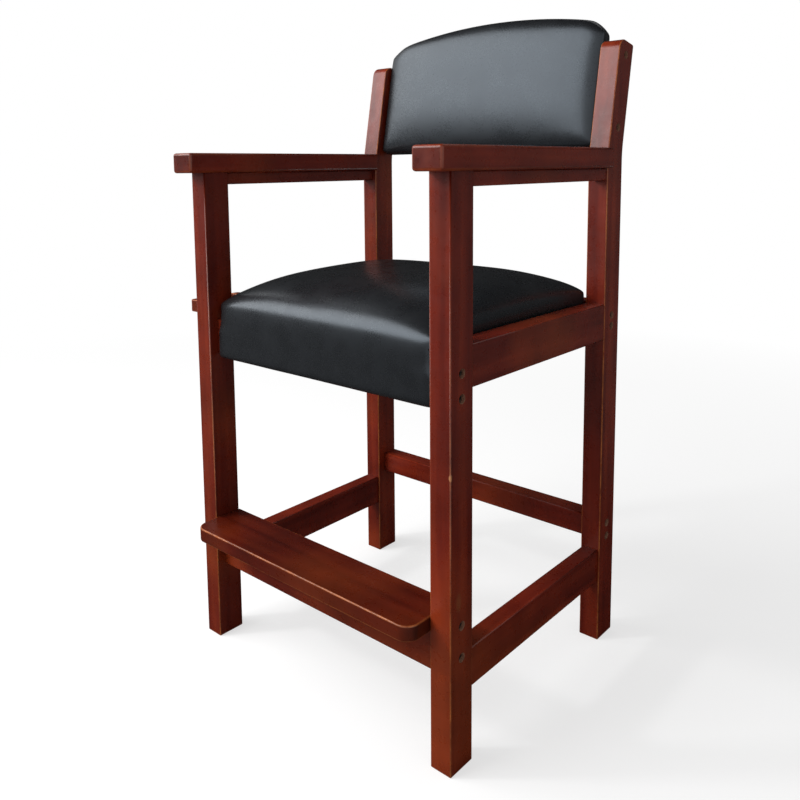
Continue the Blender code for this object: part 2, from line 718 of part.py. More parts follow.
def seat_cushion():
    """Crowned seat with a front skirt that hangs before the front apron."""
    half = INNER_HALF - SEAT_SIDE_GAP
    front = SEAT_FRONT_SETBACK
    back = REAR_CROSS_FRONT - SEAT_SIDE_GAP

    def shape_point(across, along, up):
        side = 2 * across - 1
        depth = 2 * along - 1
        crown = (1 - abs(side) ** SIDE_CROWN_POWER) * (1 - abs(depth) ** CROWN_POWER)
        drop = SEAT_FRONT_DROP * math.exp(-along / FRONT_DROP_SHARE)
        top = SEAT_EDGE - drop + SEAT_CROWN * crown
        height = SEAT_SKIRT_BOTTOM + (top - SEAT_SKIRT_BOTTOM) * up
        waist = SEAT_SIDE_WAIST * math.sin(math.pi * up)
        return ((half - waist) * side, front + (back - front) * along, height)

    cushion = cage("seat_cushion", WIDE_SHARES, DEEP_SHARES, TALL_SHARES, shape_point, leather)
    skirt_back = FRONT_CROSS_BACK - CROSS_THICKNESS - FIT
    low = (-half - OVERRUN, skirt_back, SEAT_SKIRT_BOTTOM - OVERRUN)
    high = (half + OVERRUN, back + OVERRUN, SEAT_BOARD_TOP + FIT)
    cut(cushion, box_cutter("seat_underside", low, high))


def back_arch(across):
    """Height of the back's top edge up the rake, at a place from -1 to 1 across it."""
    half = INNER_HALF - BACK_SIDE_GAP
    radius = (half ** 2 + BACK_ARCH_RISE ** 2) / (2 * BACK_ARCH_RISE)
    top = BACK_TOP - radius + math.sqrt(radius ** 2 - (half * across) ** 2)
    past = max(0, (abs(across) - CORNER_START_SHARE) / (1 - CORNER_START_SHARE))
    return top - BACK_CORNER_DROP * past ** 2


def back_outline(inset):
    """Outline of a board inside the back's own outline, drawn in the raked frame."""
    half = INNER_HALF - BACK_SIDE_GAP - inset
    points = [Vector((-half, BACK_BOTTOM + inset)), Vector((half, BACK_BOTTOM + inset))]
    for step in range(ARCH_STEPS + 1):
        across = 1 - 2 * step / ARCH_STEPS
        points.append(Vector((half * across, back_arch(across) - inset)))
    return points


def back_board():
    back_face = BACK_RIM_REAR - FIT
    middle_depth = back_face - BACK_BOARD_THICKNESS / 2
    outline = back_outline(BACK_WRAP + FIT)
    mesh = outline_mesh("back_board", outline, BACK_BOARD_THICKNESS, raked(0, middle_depth))
    board = add_object("back_board", mesh, parts, plywood)
    bolted(board, "back_upper", "back_lower")
    pocket = outline_mesh(
        "back_pocket", back_outline(BACK_WRAP), BACK_BOARD_THICKNESS + OVERRUN,
        raked(0, middle_depth - FIT + OVERRUN / 2))
    return add_cutter("back_pocket", pocket)


def back_cushion(pocket):
    half = INNER_HALF - BACK_SIDE_GAP

    def shape_point(across, up, forward):
        side = 2 * across - 1
        high = 2 * up - 1
        crown = (1 - abs(side) ** CROWN_POWER) * (1 - abs(high) ** CROWN_POWER)
        face = BACK_RIM_FRONT - BACK_CROWN * crown
        back = BACK_RIM_REAR + (face - BACK_RIM_REAR) * forward
        rise = BACK_BOTTOM + (back_arch(side) - BACK_BOTTOM) * up
        return raked(rise, back) @ Vector((half * side, 0, 0))

    cushion = cage(
        "back_cushion", WIDE_SHARES, BACK_TALL_SHARES, BACK_THICK_SHARES, shape_point, leather)
    cut(cushion, pocket)
    bolted(cushion, "back_upper", "back_lower")


def back_panel():
    middle_depth = BACK_RIM_REAR + FIT + BACK_PANEL_THICKNESS / 2
    mesh = outline_mesh(
        "back_panel", back_outline(BACK_PANEL_INSET), BACK_PANEL_THICKNESS, raked(0, middle_depth))
    panel = add_object("back_panel", mesh, parts, leather)
    round_edges(panel, PLANK_ROUND)


def stand_on_footprint():
    """Moves the chair so that the origin is under the middle of its footprint."""
    bpy.context.view_layer.update()
    graph = bpy.context.evaluated_depsgraph_get()
    corners = []
    for obj in parts.objects:
        solid = obj.evaluated_get(graph)
        corners += [solid.matrix_world @ vert.co for vert in solid.data.vertices]
    for axis in (0, 1):
        values = [corner[axis] for corner in corners]
        chair.location[axis] = -(min(values) + max(values)) / 2


for old in list(bpy.data.objects):
    bpy.data.objects.remove(old)

parts = bpy.data.collections.new("spectator_chair")
cutters = bpy.data.collections.new("cutters")
bpy.context.scene.collection.children.link(parts)
bpy.context.scene.collection.children.link(cutters)
chair = bpy.data.objects.new("chair_origin", None)
bpy.context.scene.collection.objects.link(chair)

wood = material("mahogany_lacquer", (0.16, 0.030, 0.017), 0.32)
pine = material("raw_pine", (0.62, 0.44, 0.26), 0.75)
plywood = material("plywood", (0.58, 0.42, 0.27), 0.78)
leather = material("black_leather", (0.014, 0.015, 0.017), 0.42)
cloth = material("black_cloth", (0.02, 0.02, 0.022), 0.95)
steel = material("zinc_steel", (0.46, 0.45, 0.43), 0.35, 1.0)

bolt_holes = add_bolts()
screw_meshes = {}
for screw_length in (SEAT_SCREW_LENGTH, CUE_SCREW_LENGTH):
    screw_mesh = fastener_mesh(
        "screw", SCREW_HEAD_RADIUS, SCREW_HEAD_HEIGHT, SCREW_RADIUS, screw_length)
    screw_mesh.materials.append(steel)
    screw_meshes[screw_length] = smooth(screw_mesh)

aprons = {side_name: side_frame(side_name, side) for side_name, side in SIDES}
cross_rails()
footrest()
cue_rest(aprons["left"])
corner_blocks(seat_board())
dust_cover()
seat_cushion()
back_cushion(back_board())
back_panel()
stand_on_footprint()
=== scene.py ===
import math
import random

import bmesh
import bpy
from mathutils import Matrix, Vector, noise


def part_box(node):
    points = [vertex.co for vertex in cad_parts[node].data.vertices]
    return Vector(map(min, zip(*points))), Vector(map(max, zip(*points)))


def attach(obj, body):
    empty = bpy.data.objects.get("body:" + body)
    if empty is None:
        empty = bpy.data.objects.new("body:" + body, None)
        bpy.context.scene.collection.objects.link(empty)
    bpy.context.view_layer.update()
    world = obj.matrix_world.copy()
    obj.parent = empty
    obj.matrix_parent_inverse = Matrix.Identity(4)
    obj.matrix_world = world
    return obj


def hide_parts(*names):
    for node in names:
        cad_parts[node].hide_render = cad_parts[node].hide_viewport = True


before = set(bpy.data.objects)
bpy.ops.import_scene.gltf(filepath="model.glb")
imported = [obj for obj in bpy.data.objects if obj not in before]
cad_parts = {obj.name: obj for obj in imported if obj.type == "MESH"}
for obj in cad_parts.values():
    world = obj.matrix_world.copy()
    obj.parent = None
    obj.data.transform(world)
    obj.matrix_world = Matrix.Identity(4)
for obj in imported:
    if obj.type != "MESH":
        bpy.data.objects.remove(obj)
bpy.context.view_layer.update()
scene = bpy.context.scene
sides = (("left", -1), ("right", 1))
tiny = 1e-5  # places closer than this count as one

# the chair's own lines, read from the frame: y runs back from the front of the front legs
legLeft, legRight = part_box("front_leg_left"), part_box("front_leg_right")
middleX = (legLeft[0].x + legRight[1].x) / 2
frontY = legLeft[0].y
innerHalf = (legRight[0].x - legLeft[1].x) / 2
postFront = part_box("rear_leg_left")[0].y


def at(x, y, z):
    return Vector((middleX + x, frontY + y, z))


# camera
view = {
    "place": (1.00631, -1.15482, 0.91347),
    "forward": (-0.66974, 0.73323, -0.11759),
    "up": (-0.07018, 0.09515, 0.99299),
    "focal": 800.47,            # in pixels of the 800 pixel frame
    "centre": (368.86, 262.5),  # where the lens axis meets the picture, in pixels
    "frame": 800,
    "sensor": 36,
}


def makeCamera():
    lens = bpy.data.cameras.new("camera")
    lens.sensor_width = view["sensor"]
    lens.lens = view["focal"] / view["frame"] * lens.sensor_width
    half = view["frame"] / 2
    lens.shift_x = (half - view["centre"][0]) / view["frame"]
    lens.shift_y = (view["centre"][1] - half) / view["frame"]
    camera = bpy.data.objects.new("camera", lens)
    scene.collection.objects.link(camera)
    forward, up = Vector(view["forward"]).normalized(), Vector(view["up"]).normalized()
    right = forward.cross(up).normalized()
    up = right.cross(forward)
    turn = Matrix((right, up, -forward)).transposed().to_4x4()
    camera.matrix_world = Matrix.Translation(view["place"]) @ turn
    scene.camera = camera


makeCamera()
print("camera set")


# nodes that the finishes share
def newFinish(name):
    mat = bpy.data.materials.new(name)
    mat.use_nodes = True
    return mat, mat.node_tree.nodes, mat.node_tree.links, mat.node_tree.nodes["Principled BSDF"]


def addCoords(nodes):
    return nodes.new("ShaderNodeTexCoord").outputs["Object"]


def addStretch(nodes, links, coords, scale, shift=(0, 0, 0)):
    node = nodes.new("ShaderNodeMapping")
    node.inputs["Location"].default_value = shift
    node.inputs["Scale"].default_value = scale
    links.new(coords, node.inputs["Vector"])
    return node.outputs["Vector"]


def addNoise(nodes, links, coords, scale, detail=2.0, roughness=0.5, distortion=0.0):
    node = nodes.new("ShaderNodeTexNoise")
    node.inputs["Scale"].default_value = scale
    node.inputs["Detail"].default_value = detail
    node.inputs["Roughness"].default_value = roughness
    node.inputs["Distortion"].default_value = distortion
    links.new(coords, node.inputs["Vector"])
    return node.outputs["Fac"]


def addCells(nodes, links, coords, scale, randomness=1.0):
    node = nodes.new("ShaderNodeTexVoronoi")
    node.inputs["Scale"].default_value = scale
    node.inputs["Randomness"].default_value = randomness
    links.new(coords, node.inputs["Vector"])
    return node.outputs["Distance"]


def addRamp(nodes, links, value, stops):
    node = nodes.new("ShaderNodeValToRGB")
    ramp = node.color_ramp
    while len(ramp.elements) < len(stops):
        ramp.elements.new(0.5)
    for element, (place, colour) in zip(ramp.elements, stops):
        element.position = place
        element.color = (*colour, 1.0)
    links.new(value, node.inputs["Fac"])
    return node.outputs["Color"]


def addRange(nodes, links, value, low, high, outLow=0.0, outHigh=1.0):
    node = nodes.new("ShaderNodeMapRange")
    for key, number in (("From Min", low), ("From Max", high), ("To Min", outLow), ("To Max", outHigh)):
        node.inputs[key].default_value = number
    links.new(value, node.inputs["Value"])
    return node.outputs["Result"]


def addMath(nodes, links, kind, first, second):
    node = nodes.new("ShaderNodeMath")
    node.operation = kind
    for socket, value in zip(node.inputs, (first, second)):
        if isinstance(value, (int, float)):
            socket.default_value = value
        else:
            links.new(value, socket)
    return node.outputs["Value"]


def addMix(nodes, links, amount, first, second, blend="MIX"):
    node = nodes.new("ShaderNodeMix")
    node.data_type = "RGBA"
    node.blend_type = blend
    for name, kind, value in (("Factor", "VALUE", amount), ("A", "RGBA", first), ("B", "RGBA", second)):
        socket = next(s for s in node.inputs if s.name == name and s.type == kind)
        if isinstance(value, (int, float)):
            socket.default_value = value
        elif isinstance(value, tuple):
            socket.default_value = (*value, 1.0)
        else:
            links.new(value, socket)
    return next(s for s in node.outputs if s.type == "RGBA")


def addBump(nodes, links, height, strength, distance, before=None):
    node = nodes.new("ShaderNodeBump")
    node.inputs["Strength"].default_value = strength
    node.inputs["Distance"].default_value = distance
    links.new(height, node.inputs["Height"])
    if before is not None:
        links.new(before, node.inputs["Normal"])
    return node.outputs["Normal"]


def addLength(nodes, links, vector):
    node = nodes.new("ShaderNodeVectorMath")
    node.operation = "LENGTH"
    links.new(vector, node.inputs[0])
    return node.outputs["Value"]


def addFacing(nodes, links, axis):
    # 1 where a face looks along the axis either way, 0 where it lies along it
    split = nodes.new("ShaderNodeSeparateXYZ")
    links.new(nodes.new("ShaderNodeNewGeometry").outputs["Normal"], split.inputs["Vector"])
    return addMath(nodes, links, "ABSOLUTE", split.outputs["xyz".index(axis)], 0)


woodLook = {
    "dark": (0.098, 0.0074, 0.0030),
    "mid": (0.152, 0.0132, 0.0044),
    "light": (0.215, 0.0250, 0.0072),
    "tones": (0.30, 0.50, 0.72),    # where these three lie in the grain
    "worn": (0.42, 0.120, 0.030),
    "rubbed": (0.30, 1.0),          # how far a worn arris shows, from place to place
    "glow": (0.25, 0.042, 0.0080),  # where the stain lies thin
    "glowShare": 0.50,
    "stain": (0.74, 1.22),
    "endGrain": 0.55,
    "raw": (0.40, 0.20, 0.125),     # inside the bores
    "rawRoughness": 0.7,
    "roughness": (0.25, 0.34),
    "ior": 1.46,
    "bump": (0.07, 0.0003),
    # scales of the noises, the first two drawn out along the grain
    "stretch": 0.045, "bands": 38, "streaks": 190, "streakShare": 0.22,
    "clouds": 9, "thin": 4.2, "rubs": 24, "haze": 60, "ragged": 350, "fibres": 420,
}


def addMark(nodes, links, coords, place, radii):
    # 1 inside a small ragged patch around place, falling to 0 at its rim
    offset = nodes.new("ShaderNodeMapping")
    offset.vector_type = "TEXTURE"
    offset.inputs["Location"].default_value = place
    offset.inputs["Scale"].default_value = radii
    links.new(coords, offset.inputs["Vector"])
    away = addLength(nodes, links, offset.outputs["Vector"])
    ragged = addMath(nodes, links, "ADD", away, addNoise(nodes, links, coords, woodLook["ragged"], 2, 0.5))
    return addRange(nodes, links, ragged, 1.0, 1.5, 1.0, 0.0)


def woodFinish(name, grain, shift, depth=1.0, marks=()):
    w = woodLook
    mat, nodes, links, shader = newFinish(name)
    coords = addCoords(nodes)
    drawn = [w["stretch"] if axis == grain else 1.0 for axis in "xyz"]
    along = addStretch(nodes, links, coords, drawn, shift)
    bands = addNoise(nodes, links, along, w["bands"], 2, 0.5, 0.5)
    streaks = addNoise(nodes, links, along, w["streaks"], 2, 0.5)
    clouds = addNoise(nodes, links, coords, w["clouds"], 3, 0.5)
    tone = addMath(nodes, links, "ADD", addMath(nodes, links, "MULTIPLY", bands, 1 - w["streakShare"]),
                   addMath(nodes, links, "MULTIPLY", streaks, w["streakShare"]))
    colour = addRamp(nodes, links, tone, tuple(zip(w["tones"], (w["dark"], w["mid"], w["light"]))))
    thin = addNoise(nodes, links, coords, w["thin"], 2, 0.4)
    thin = addRange(nodes, links, thin, 0.47, 0.66, 0.0, w["glowShare"])
    colour = addMix(nodes, links, thin, colour, w["glow"])
    # the stain is cloudy, and dark where it sank into end grain
    deeper = addRange(nodes, links, addFacing(nodes, links, grain), 0.85, 0.97, 1.0, w["endGrain"])
    # depth darkens the whole piece; on the footboard that darkening is painted shade
    low, high = (share * depth for share in w["stain"])
    stain = addMath(nodes, links, "MULTIPLY", addRange(nodes, links, clouds, 0.3, 0.7, low, high), deeper)
    stainColour = nodes.new("ShaderNodeCombineColor")
    for socket in stainColour.inputs:
        links.new(stain, socket)
    colour = addMix(nodes, links, 1.0, colour, stainColour.outputs["Color"], "MULTIPLY")
    # rubbed arrises; on the footboard their lighter colour is raised to also paint the highlight line
    # along its top front edge
    worn = nodes.new("ShaderNodeAttribute")
    worn.attribute_name = "worn"
    rubbed = addNoise(nodes, links, coords, w["rubs"], 4, 0.65)
    rubbed = addRange(nodes, links, rubbed, 0.38, 0.58, *w["rubbed"])
    rubbed = addMath(nodes, links, "MULTIPLY", worn.outputs["Fac"], rubbed)
    colour = addMix(nodes, links, rubbed, colour, w["worn"])
    for place, radii, strength, markColour in marks:
        mark = addMath(nodes, links, "MULTIPLY", addMark(nodes, links, coords, place, radii), strength)
        colour = addMix(nodes, links, mark, colour, markColour)
    links.new(colour, shader.inputs["Base Color"])
    haze = addNoise(nodes, links, coords, w["haze"], 2, 0.5)
    links.new(addRange(nodes, links, haze, 0.3, 0.7, *w["roughness"]), shader.inputs["Roughness"])
    shader.inputs["IOR"].default_value = w["ior"]
    links.new(addBump(nodes, links, streaks, *w["bump"]), shader.inputs["Normal"])
    return mat


def rawFinish(name):
    mat, nodes, links, shader = newFinish(name)
    fibres = addNoise(nodes, links, addCoords(nodes), woodLook["fibres"], 3, 0.6)
    darker = tuple(c * 0.6 for c in woodLook["raw"])
    colour = addRamp(nodes, links, fibres, ((0.35, darker), (0.6, woodLook["raw"])))
    links.new(colour, shader.inputs["Base Color"])
    shader.inputs["Roughness"].default_value = woodLook["rawRoughness"]
    return mat


leatherLook = {
    "deep": (0.0120, 0.0128, 0.0144),
    "pale": (0.0165, 0.0176, 0.0196),
    "crease": (0.0090, 0.0096, 0.0108),
    "creaseShare": 0.5,
    "shine": (0.76, 0.88, 1.0),
    "ior": 1.5,
    "roughness": (0.26, 0.31),
    "uneven": 0.03,
    "poreBump": (0.10, 0.00025),
    "creaseBump": (0.10, 0.0006),
    # scales of the noises
    "pores": 820, "creases": 240, "patches": 24,
}


def leatherFinish(name):
    look = leatherLook
    mat, nodes, links, shader = newFinish(name)
    coords = addCoords(nodes)
    pores = addCells(nodes, links, coords, look["pores"])
    creases = addNoise(nodes, links, coords, look["creases"], 4, 0.65, 0.6)
    patches = addNoise(nodes, links, coords, look["patches"], 3, 0.5)
    colour = addRamp(nodes, links, patches, ((0.30, look["deep"]), (0.70, look["pale"])))
    creased = addRange(nodes, links, creases, 0.35, 0.65, 0.0, look["creaseShare"])
    links.new(addMix(nodes, links, creased, colour, look["crease"]), shader.inputs["Base Color"])
    gloss = addMath(nodes, links, "ADD", addRange(nodes, links, patches, 0.3, 0.7, *look["roughness"]),
                    addRange(nodes, links, creases, 0.3, 0.7, -look["uneven"], look["uneven"]))
    links.new(gloss, shader.inputs["Roughness"])
    shader.inputs["IOR"].default_value = look["ior"]
    shader.inputs["Specular Tint"].default_value = (*look["shine"], 1.0)
    fine = addBump(nodes, links, pores, *look["poreBump"])
    links.new(addBump(nodes, links, creases, *look["creaseBump"], fine), shader.inputs["Normal"])
    return mat


clothLook = {
    "dark": (0.008, 0.008, 0.009),
    "pale": (0.030, 0.030, 0.033),
    "roughness": 0.92,
    "sheen": 0.25,
    "dots": 620, "dotRandomness": 0.25, "dotBump": (0.4, 0.0004),
    "fibres": 900, "fibreBump": (0.3, 0.0003),
}


def clothFinish(name):
    look = clothLook
    mat, nodes, links, shader = newFinish(name)
    coords = addCoords(nodes)
    dots = addCells(nodes, links, coords, look["dots"], look["dotRandomness"])
    fibres = addNoise(nodes, links, coords, look["fibres"], 4, 0.7, 1.2)
    colour = addRamp(nodes, links, fibres, ((0.35, look["dark"]), (0.65, look["pale"])))
    links.new(colour, shader.inputs["Base Color"])
    shader.inputs["Roughness"].default_value = look["roughness"]
    shader.inputs["Sheen Weight"].default_value = look["sheen"]
    dimple = addBump(nodes, links, dots, *look["dotBump"])
    links.new(addBump(nodes, links, fibres, *look["fibreBump"], dimple), shader.inputs["Normal"])
    return mat


steelLook = {"stains": 300, "darker": 0.55, "duller": 0.12, "bump": (0.15, 0.0002)}


def steelFinish(name, colour, roughness):
    look = steelLook
    mat, nodes, links, shader = newFinish(name)
    stains = addNoise(nodes, links, addCoords(nodes), look["stains"], 3, 0.6)
    darker = tuple(c * look["darker"] for c in colour)
    links.new(addRamp(nodes, links, stains, ((0.35, darker), (0.6, colour))), shader.inputs["Base Color"])
    shader.inputs["Metallic"].default_value = 1.0
    gloss = addRange(nodes, links, stains, 0.3, 0.7, roughness + look["duller"], roughness)
    links.new(gloss, shader.inputs["Roughness"])
    links.new(addBump(nodes, links, stains, *look["bump"]), shader.inputs["Normal"])
    return mat


boardLook = {
    "stretch": (0.06, 1.0, 1.0), "figure": 85, "bump": (0.25, 0.0006), "roughness": 0.78,
    "glue": (0.16, 0.09, 0.045), "glueShare": 0.35,
}


def boardFinish(name, pale, deep, plies):
    look = boardLook
    mat, nodes, links, shader = newFinish(name)
    coords = addCoords(nodes)
    along = addStretch(nodes, links, coords, look["stretch"])
    figure = addNoise(nodes, links, along, look["figure"], 4, 0.6, 0.8)
    colour = addRamp(nodes, links, figure, ((0.32, deep), (0.66, pale)))
    if plies:  # layers show on the board's edges
        split = nodes.new("ShaderNodeSeparateXYZ")
        links.new(coords, split.inputs["Vector"])
        layer = addMath(nodes, links, "PINGPONG", split.outputs["Z"], plies)
        layer = addRange(nodes, links, layer, plies * 0.3, plies * 0.7, 0.0, look["glueShare"])
        edge = addMath(nodes, links, "LESS_THAN", addFacing(nodes, links, "z"), 0.5)
        layer = addMath(nodes, links, "MULTIPLY", layer, edge)
        colour = addMix(nodes, links, layer, colour, look["glue"])
    links.new(colour, shader.inputs["Base Color"])
    shader.inputs["Roughness"].default_value = look["roughness"]
    links.new(addBump(nodes, links, figure, *look["bump"]), shader.inputs["Normal"])
    return mat


rawWood = rawFinish("rawWood")
leather = leatherFinish("blackLeather")
dustCloth = clothFinish("dustCloth")
boltSteel = steelFinish("boltSteel", (0.13, 0.125, 0.12), 0.38)
screwSteel = steelFinish("screwSteel", (0.52, 0.46, 0.30), 0.36)
plywood = boardFinish("plywood", (0.62, 0.46, 0.30), (0.42, 0.28, 0.16), 0.0015)
pine = boardFinish("pine", (0.68, 0.50, 0.30), (0.46, 0.29, 0.14), 0)
print("finishes made")


# what the pieces share
def meshFrom(name, shape):
    mesh = bpy.data.meshes.new(name)
    shape.to_mesh(mesh)
    shape.free()
    return mesh


def newPiece(name, mesh):
    piece = bpy.data.objects.new(name, mesh)
    scene.collection.objects.link(piece)
    return piece


def meshObject(name, shape, mat):
    mesh = meshFrom(name, shape)
    mesh.materials.append(mat)
    return newPiece(name, mesh)


def finishPiece(piece, node):
    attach(piece, "root")
    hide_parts(node)
    return piece


def bake(piece):
    graph = bpy.context.evaluated_depsgraph_get()
    result = bpy.data.meshes.new_from_object(piece.evaluated_get(graph))
    piece.modifiers.clear()
    old = piece.data
    piece.data = result
    bpy.data.meshes.remove(old)


def cutHoles(piece, cutter):
    knife = newPiece("knife", cutter)
    boolean = piece.modifiers.new("holes", "BOOLEAN")
    boolean.operation = "DIFFERENCE"
    boolean.object = knife
    if cutter.materials:
        boolean.material_mode = "TRANSFER"
    bake(piece)
    bpy.data.objects.remove(knife)


def cubeShape(low, high):
    shape = bmesh.new()
    bmesh.ops.create_cube(shape, size=1)
    bmesh.ops.scale(shape, vec=Vector(high) - Vector(low), verts=shape.verts)
    bmesh.ops.translate(shape, vec=(Vector(low) + Vector(high)) / 2, verts=shape.verts)
    return shape


def addRod(shape, radius, depth, steps):
    # an upright rod around the origin
    made = bmesh.ops.create_cone(shape, cap_ends=True, segments=steps, radius1=radius, radius2=radius,
                                 depth=depth)
    return made["verts"]


def latheShape(profile, steps):
    shape = bmesh.new()
    rim = [shape.verts.new((radius, 0, height)) for radius, height in profile]
    lines = [shape.edges.new(pair) for pair in zip(rim, rim[1:])]
    bmesh.ops.spin(shape, geom=rim + lines, cent=(0, 0, 0), axis=(0, 0, 1), dvec=(0, 0, 0),
                   angle=math.tau, steps=steps, use_merge=True, use_duplicate=False)
    bmesh.ops.remove_doubles(shape, verts=shape.verts, dist=tiny)
    bmesh.ops.recalc_face_normals(shape, faces=shape.faces)
    return shape


def bevelEdges(shape, edges, reach, steps, kind="OFFSET", smooth=True):
    made = bmesh.ops.bevel(shape, geom=edges, offset=reach, offset_type=kind, segments=steps,
                           profile=0.5, affect="EDGES", clamp_overlap=True, material=-1)
    for face in made["faces"]:
        face.smooth = smooth
    return made["faces"]


def softenEdges(shape, edges, radius, steps, worn):
    # small rounds along the arrises, marked for the rubbed stain
    rounds = set(bevelEdges(shape, edges, radius, steps))
    layer = shape.verts.layers.float.get("worn") or shape.verts.layers.float.new("worn")
    for vert in {v for face in rounds for v in face.verts}:
        if all(face in rounds for face in vert.link_faces):
            vert[layer] = worn


def rise(edge):
    return abs(edge.verts[0].co.z - edge.verts[1].co.z)


def frontCorners(shape, front):
    return [e for e in shape.edges if rise(e) > tiny and all(abs(v.co.y - front) < tiny for v in e.verts)]


def levelRims(shape):
    return [e for e in shape.edges if any(abs(face.normal.z) > 0.99 for face in e.link_faces)]


# wood
wood = {"edge": 0.0021, "steps": 4, "worn": 1.0}
paintedShadeAndTone = {"footboard": 0.56, "frontLeg_left": 0.86}  # below 1 where a piece is drawn darker all over: on the footboard this is painted shade, standing in for the seat's shade over it; the left front leg is simply drawn darker
thinPatch = {
    "back": 0.020, "rise": 0.040, "radii": (0.01, 0.008, 0.017), "strength": 0.6,
    "colour": (0.24, 0.066, 0.020),
}
nick = {"share": 0.68, "radii": (0.004, 0.004, 0.006), "strength": 0.8, "colour": (0.50, 0.22, 0.09)}
woodSeed = random.Random(7)


def legMarks():
    # a thin place in the stain above the footrest's bolt, and a small nick in the front arris
    foot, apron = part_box("bolt_footrest_right"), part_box("bolt_front_apron_lower_right")
    low, high = (foot[0].z + foot[1].z) / 2, (apron[0].z + apron[1].z) / 2
    outer, front = legRight[1].x, legRight[0].y
    patchPlace = (outer, front + thinPatch["back"], low + thinPatch["rise"])
    nickPlace = (outer, front, low + nick["share"] * (high - low))
    return [(place, mark["radii"], mark["strength"], mark["colour"])
            for place, mark in ((patchPlace, thinPatch), (nickPlace, nick))]


def woodMaterialFor(name, grain):
    shift = tuple(woodSeed.uniform(-3, 3) for _ in range(3))
    marks = legMarks() if name == "frontLeg_right" else ()
    return woodFinish(f"wood_{name}", grain, shift, paintedShadeAndTone.get(name, 1.0), marks)


def woodBar(name, low, high, grain, ends=(True, True), edge=wood["edge"], worn=wood["worn"]):
    # a rounded bar; ends says whether its low and its high end show and are rounded too
    axis = "xyz".index(grain)
    shape = cubeShape(low, high)
    picked = []
    for line in shape.edges:
        first, second = (v.co for v in line.verts)
        runsAlong = abs(first[axis] - second[axis]) > tiny
        if runsAlong or ends[first[axis] > (low[axis] + high[axis]) / 2]:
            picked.append(line)
    softenEdges(shape, picked, edge, wood["steps"], worn)
    return meshObject(name, shape, woodMaterialFor(name, grain))


bolt = {
    "head": 0.0062, "height": 0.005, "shank": 0.003, "length": 0.060, "chamfer": 0.0006,
    "socket": 0.0050, "socketDepth": 0.0030, "recess": 0.005, "bore": 0.0075, "fit": 0.0003,
    "overrun": 0.02, "steps": 32,
}
boltNames = {
    "front_leg": ("front_apron_upper", "front_apron_lower", "footrest", "front_stretcher"),
    "rear_leg": ("rear_apron_upper", "rear_apron_lower", "rear_stretcher_upper", "rear_stretcher_lower",
                 "back_upper", "back_lower"),
}


def outwardTurn(side):
    return Matrix.Rotation(side * math.pi / 2, 4, "Y")


def boltPlace(node, side):
    low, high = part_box(node)
    return Vector((high.x if side > 0 else low.x, (low.y + high.y) / 2, (low.z + high.z) / 2))


def holeMesh(names, sideName, side):
    # counterbores and clearance holes, whose walls show raw wood
    b = bolt
    shape = bmesh.new()
    seatHeight, mouth, narrow = -b["height"] - b["fit"], b["recess"] + b["overrun"], b["shank"] + b["fit"]
    for label in names:
        one = latheShape((
            (0, mouth), (b["bore"], mouth), (b["bore"], seatHeight), (narrow, seatHeight),
            (narrow, seatHeight - b["length"]), (0, seatHeight - b["length"]),
        ), b["steps"])
        place = boltPlace(f"bolt_{label}_{sideName}", side)
        one.transform(Matrix.Translation(place) @ outwardTurn(side))
        copy = meshFrom("bore", one)
        shape.from_mesh(copy)
        bpy.data.meshes.remove(copy)
    mesh = meshFrom("bores", shape)
    mesh.materials.append(rawWood)
    return mesh


def boltSource():
    b = bolt
    tip = -b["height"] - b["length"]
    shape = latheShape((
        (0, 0), (b["head"] - b["chamfer"], 0), (b["head"], -b["chamfer"]), (b["head"], -b["height"]),
        (b["shank"], -b["height"]), (b["shank"], tip + b["chamfer"]), (b["shank"] - b["chamfer"], tip),
        (0, tip),
    ), b["steps"])
    for face in shape.faces:
        face.smooth = abs(face.normal.z) < 0.3
    source = meshObject("boltSource", shape, boltSteel)
    key = bmesh.new()
    addRod(key, b["socket"] / math.cos(math.pi / 6) / 2, b["socketDepth"] * 2, 6)
    cutHoles(source, meshFrom("key", key))
    return source


def makeBolts():
    source = boltSource()
    for label in boltNames["front_leg"] + boltNames["rear_leg"]:
        for sideName, side in sides:
            node = f"bolt_{label}_{sideName}"
            turn = outwardTurn(side) @ Matrix.Rotation(woodSeed.uniform(0, 1), 4, "Z")
            mesh = source.data.copy()
            mesh.transform(Matrix.Translation(boltPlace(node, side)) @ turn)
            finishPiece(newPiece(f"capScrew_{label}_{sideName}", mesh), node)
    bpy.data.objects.remove(source)


rearLeg = {
    "depth": 0.0575, "bend": 0.927, "rake": math.radians(10.6), "post": 0.220, "postDepth": 0.0545,
    "bendRadius": 0.175, "topFront": 0.020, "topBack": 0.004, "bendSteps": 10, "topSteps": 10,
    "topBackSteps": 5,
}


